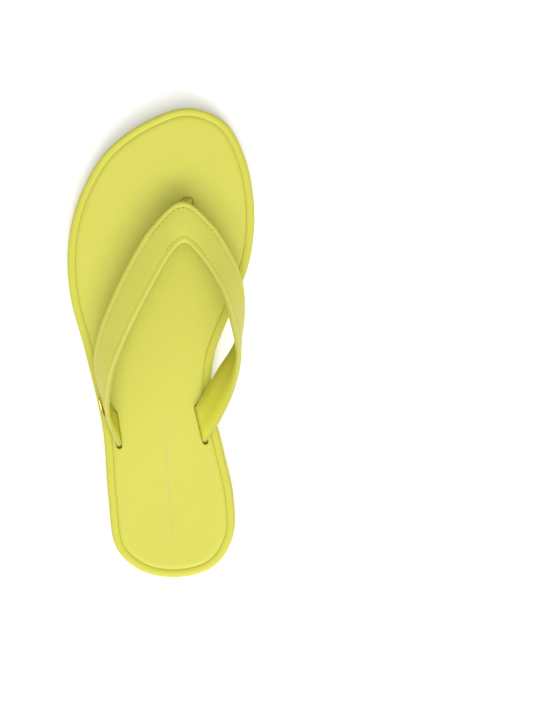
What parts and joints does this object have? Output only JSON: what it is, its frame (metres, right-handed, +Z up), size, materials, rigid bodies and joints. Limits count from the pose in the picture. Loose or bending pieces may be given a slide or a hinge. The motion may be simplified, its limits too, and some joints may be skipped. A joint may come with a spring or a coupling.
{
  "type": "flip flop",
  "caption": "Left thong sandal with a laminated sole, a ribbon strap through two slots, a toe post, and a sole that flexes at the ball of the foot.",
  "frame": {"origin": "on the ground under the middle of the sole's bounding box", "axes": "+Y to the toe, +X to the big-toe side, +Z up"},
  "size_m": [0.1028, 0.258, 0.0503],
  "materials": {
    "outsole_rubber": "moulded matt rubber",
    "midsole_foam": "moulded EVA foam, satin skin",
    "insole_board": "pressed cellulose board",
    "footbed_foam": "open-cell foam",
    "footbed_cover": "soft coated leatherette, fine grain",
    "strap_upper": "smooth coated leatherette",
    "strap_lining": "matt lining leatherette",
    "reinforcement_tape": "woven polyester tape",
    "stitching_thread": "polyester thread",
    "washer_nylon": "moulded nylon",
    "tack_steel": "plain steel",
    "emblem_metal": "polished gold tone"
  },
  "bodies": {
    "heel": {"outsole_heel": "outsole_rubber", "midsole_heel": "midsole_foam", "insole_board_heel": "insole_board", "footbed_foam_heel": "footbed_foam", "footbed_cover_heel": "footbed_cover", "strap_upper": "strap_upper", "strap_reinforcement_tape": "reinforcement_tape", "strap_lining": "strap_lining", "lateral_anchor_tab": "strap_upper", "medial_anchor_tab": "strap_upper", "lateral_anchor_tack_front": "tack_steel", "lateral_anchor_tack_rear": "tack_steel", "medial_anchor_tack_front": "tack_steel", "medial_anchor_tack_rear": "tack_steel", "outer_apex_stitching": "stitching_thread", "inner_apex_stitching": "stitching_thread", "emblem_plate": "emblem_metal"},
    "forefoot": {"outsole_forefoot": "outsole_rubber", "midsole_forefoot": "midsole_foam", "insole_board_forefoot": "insole_board", "footbed_foam_forefoot": "footbed_foam", "footbed_cover_forefoot": "footbed_cover", "toe_post_cover": "strap_upper", "toe_post_core": "reinforcement_tape", "toe_post_washer": "washer_nylon", "toe_post_plug": "washer_nylon"}
  },
  "joints": [
    {"name": "toe_flex", "type": "hinge", "parent": "heel", "child": "forefoot", "pos_m": [0, 0.05599, 0.018], "axis": [1, 0, 0], "range_deg": [0, 30], "stiffness_Nm_per_rad": 2, "deforming": ["toe_post_cover", "toe_post_core"]}
  ]
}
